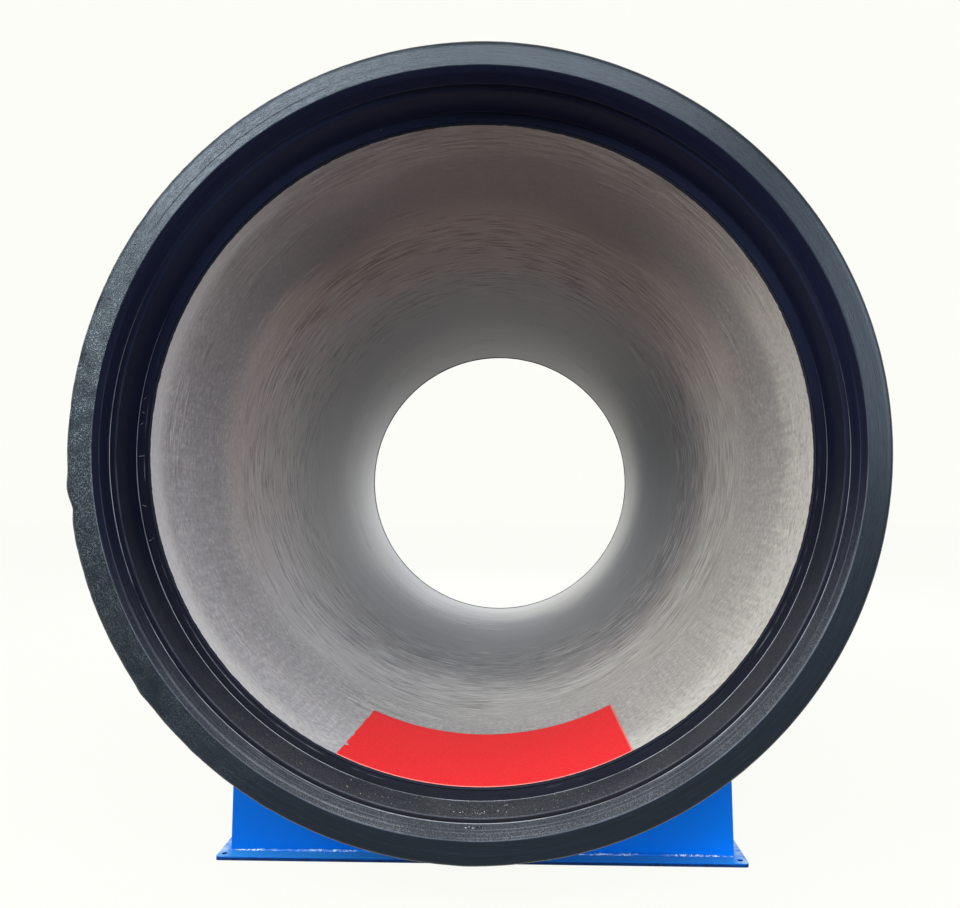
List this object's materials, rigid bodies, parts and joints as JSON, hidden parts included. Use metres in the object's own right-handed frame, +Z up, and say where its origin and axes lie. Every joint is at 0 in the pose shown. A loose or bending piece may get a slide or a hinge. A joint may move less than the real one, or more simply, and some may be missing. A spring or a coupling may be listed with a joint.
{
  "type": "ductile iron pipe on cradles",
  "caption": "Large push-on socket and spigot ductile iron pipe with a cement mortar lining, lying on welded steel cradles.",
  "frame": {"origin": "on the floor, under the middle of the pipe", "axes": "+Y along the pipe from its bell to its spigot end, +Z up, +X to the right when looking into the bell"},
  "size_m": [2.972, 6.35, 3.1756],
  "materials": {
    "coated_iron": "dark bituminous paint over cast iron, satin, with fine turning streaks",
    "cement_mortar": "matt spun cement mortar with fine ripples round the bore",
    "label_cloth": "red banner cloth, smooth, pale cut edges",
    "cradle_paint": "gloss blue enamel over welded steel plate"
  },
  "bodies": {
    "root": {"pipe_casting": "coated_iron", "mortar_lining": "cement_mortar", "invert_label": "label_cloth", "bell_cradle_base_plate": "cradle_paint", "bell_cradle_front_web": "cradle_paint", "bell_cradle_rear_web": "cradle_paint", "bell_cradle_left_end_plate": "cradle_paint", "bell_cradle_right_end_plate": "cradle_paint", "bell_cradle_left_rib": "cradle_paint", "bell_cradle_middle_rib": "cradle_paint", "bell_cradle_right_rib": "cradle_paint", "bell_cradle_saddle_plate": "cradle_paint", "spigot_cradle_base_plate": "cradle_paint", "spigot_cradle_front_web": "cradle_paint", "spigot_cradle_rear_web": "cradle_paint", "spigot_cradle_left_end_plate": "cradle_paint", "spigot_cradle_right_end_plate": "cradle_paint", "spigot_cradle_left_rib": "cradle_paint", "spigot_cradle_middle_rib": "cradle_paint", "spigot_cradle_right_rib": "cradle_paint", "spigot_cradle_saddle_plate": "cradle_paint"}
  },
  "joints": []
}
